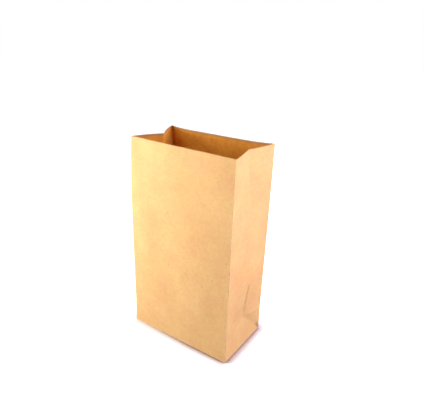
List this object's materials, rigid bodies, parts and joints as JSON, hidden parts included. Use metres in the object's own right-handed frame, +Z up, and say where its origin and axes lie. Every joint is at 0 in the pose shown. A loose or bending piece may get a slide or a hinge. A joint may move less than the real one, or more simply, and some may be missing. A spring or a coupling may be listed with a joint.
{
  "type": "paper lunch bag",
  "caption": "Tall open brown paper bag with a flat block bottom, tucked side gussets and a saw-toothed mouth edge, standing open by itself.",
  "frame": {"origin": "middle of the flat bottom, on the surface that the bag stands on", "axes": "+X along the wide panels, to the right seen from the front; +Y from the front panel to the back panel; +Z up through the open mouth"},
  "size_m": [0.1565, 0.0902, 0.27],
  "materials": {
    "kraft_paper": "matte"
  },
  "bodies": {
    "root": {"paper_bag": "kraft_paper"}
  },
  "joints": []
}
